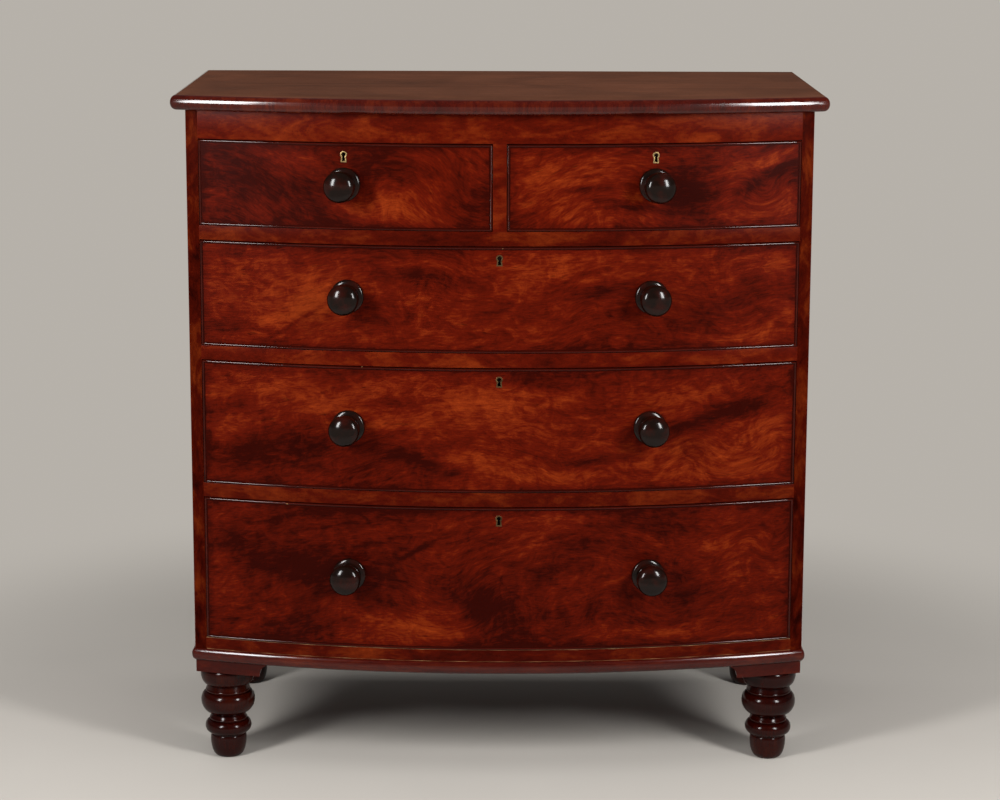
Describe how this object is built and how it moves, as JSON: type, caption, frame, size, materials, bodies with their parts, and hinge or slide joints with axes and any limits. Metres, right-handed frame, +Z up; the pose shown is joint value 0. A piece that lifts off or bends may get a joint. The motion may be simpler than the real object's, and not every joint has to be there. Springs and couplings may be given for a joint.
{
  "type": "bow front chest of drawers",
  "caption": "Bow front mahogany chest with short drawers over long ones, cockbeaded fronts, turned wooden knobs, keyed locks and turned feet.",
  "frame": {"origin": "on the floor, under the middle of the object's own box", "axes": "+Z up, the bowed front faces -Y, +X to the right of someone who faces the front"},
  "size_m": [1.066, 0.6028, 1.129],
  "materials": {
    "mahogany": "French polished figured mahogany veneer",
    "top_mahogany": "French polished solid mahogany, a little faded",
    "bead_mahogany": "dark polished mahogany",
    "ebonised": "turned, stained near black and polished",
    "pine": "unfinished, darkened with age",
    "brass": "aged, lightly polished",
    "iron": "bare, rubbed bright"
  },
  "bodies": {
    "carcase": {"top": "top_mahogany", "side_left": "mahogany", "side_right": "mahogany", "back_panel": "pine", "frieze_rail": "mahogany", "rail_upper": "mahogany", "rail_middle": "mahogany", "rail_lower": "mahogany", "rail_bottom": "mahogany", "bottom_board": "pine", "muntin": "mahogany", "partition": "pine", "base_board": "mahogany", "foot_front_left": "mahogany", "foot_front_right": "mahogany", "foot_back_left": "mahogany", "foot_back_right": "mahogany"},
    "short_left_drawer": {"short_left_front": "mahogany", "short_left_cockbead": "bead_mahogany", "short_left_box": "pine", "short_left_bottom": "pine", "short_left_lock": "brass", "short_left_escutcheon": "brass", "short_left_knob": "ebonised"},
    "short_left_lock_bolt": {"short_left_bolt": "iron"},
    "short_right_drawer": {"short_right_front": "mahogany", "short_right_cockbead": "bead_mahogany", "short_right_box": "pine", "short_right_bottom": "pine", "short_right_lock": "brass", "short_right_escutcheon": "brass", "short_right_knob": "ebonised"},
    "short_right_lock_bolt": {"short_right_bolt": "iron"},
    "long_upper_drawer": {"long_upper_front": "mahogany", "long_upper_cockbead": "bead_mahogany", "long_upper_box": "pine", "long_upper_bottom": "pine", "long_upper_lock": "brass", "long_upper_escutcheon": "brass", "long_upper_knob_left": "ebonised", "long_upper_knob_right": "ebonised"},
    "long_upper_lock_bolt": {"long_upper_bolt": "iron"},
    "long_middle_drawer": {"long_middle_front": "mahogany", "long_middle_cockbead": "bead_mahogany", "long_middle_box": "pine", "long_middle_bottom": "pine", "long_middle_lock": "brass", "long_middle_escutcheon": "brass", "long_middle_knob_left": "ebonised", "long_middle_knob_right": "ebonised"},
    "long_middle_lock_bolt": {"long_middle_bolt": "iron"},
    "long_lower_drawer": {"long_lower_front": "mahogany", "long_lower_cockbead": "bead_mahogany", "long_lower_box": "pine", "long_lower_bottom": "pine", "long_lower_lock": "brass", "long_lower_escutcheon": "brass", "long_lower_knob_left": "ebonised", "long_lower_knob_right": "ebonised"},
    "long_lower_lock_bolt": {"long_lower_bolt": "iron"}
  },
  "joints": [
    {"name": "short_left_slide", "type": "slide", "parent": "carcase", "child": "short_left_drawer", "axis": [0, -1, 0], "range_m": [0, 0.36]},
    {"name": "short_left_bolt_slide", "type": "slide", "parent": "short_left_drawer", "child": "short_left_lock_bolt", "axis": [0, 0, 1], "range_m": [0, 0.009]},
    {"name": "short_right_slide", "type": "slide", "parent": "carcase", "child": "short_right_drawer", "axis": [0, -1, 0], "range_m": [0, 0.36]},
    {"name": "short_right_bolt_slide", "type": "slide", "parent": "short_right_drawer", "child": "short_right_lock_bolt", "axis": [0, 0, 1], "range_m": [0, 0.009]},
    {"name": "long_upper_slide", "type": "slide", "parent": "carcase", "child": "long_upper_drawer", "axis": [0, -1, 0], "range_m": [0, 0.36]},
    {"name": "long_upper_bolt_slide", "type": "slide", "parent": "long_upper_drawer", "child": "long_upper_lock_bolt", "axis": [0, 0, 1], "range_m": [0, 0.009]},
    {"name": "long_middle_slide", "type": "slide", "parent": "carcase", "child": "long_middle_drawer", "axis": [0, -1, 0], "range_m": [0, 0.36]},
    {"name": "long_middle_bolt_slide", "type": "slide", "parent": "long_middle_drawer", "child": "long_middle_lock_bolt", "axis": [0, 0, 1], "range_m": [0, 0.009]},
    {"name": "long_lower_slide", "type": "slide", "parent": "carcase", "child": "long_lower_drawer", "axis": [0, -1, 0], "range_m": [0, 0.36]},
    {"name": "long_lower_bolt_slide", "type": "slide", "parent": "long_lower_drawer", "child": "long_lower_lock_bolt", "axis": [0, 0, 1], "range_m": [0, 0.009]}
  ]
}
